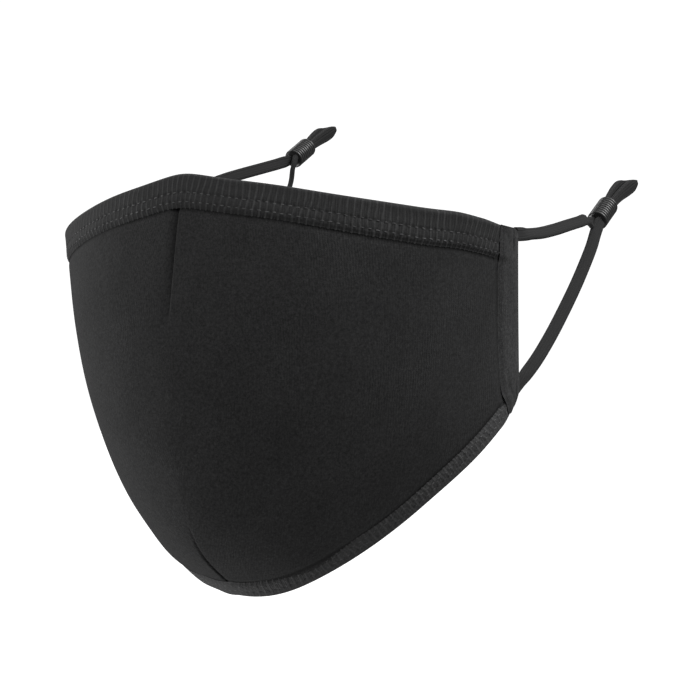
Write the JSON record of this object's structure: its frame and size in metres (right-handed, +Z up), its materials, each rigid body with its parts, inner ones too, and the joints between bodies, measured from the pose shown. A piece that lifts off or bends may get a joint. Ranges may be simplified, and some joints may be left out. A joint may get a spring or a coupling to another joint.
{
  "type": "cloth face mask",
  "caption": "Shaped black cloth face mask with ribbed edge bindings, side casings and adjustable elastic ear loops, held in its worn form.",
  "frame": {"origin": "the middle of the top edge, where it sits on the bridge of the nose", "axes": "+Z up, the front faces -Y, +X towards the casing and ear loop at the right of the front view"},
  "size_m": [0.1652, 0.2053, 0.1773],
  "materials": {
    "jersey": "matte black cotton jersey",
    "rib_knit": "matte black rib knit",
    "elastic": "matte black ribbed elastic",
    "adjuster_rubber": "satin black rubber"
  },
  "bodies": {
    "root": {"mask_shell": "jersey", "top_binding": "rib_knit", "bottom_binding": "rib_knit", "side_casing_right": "jersey", "side_casing_left": "jersey", "ear_loop_right": "elastic", "ear_loop_left": "elastic", "adjuster_right": "adjuster_rubber", "adjuster_left": "adjuster_rubber"}
  },
  "joints": []
}
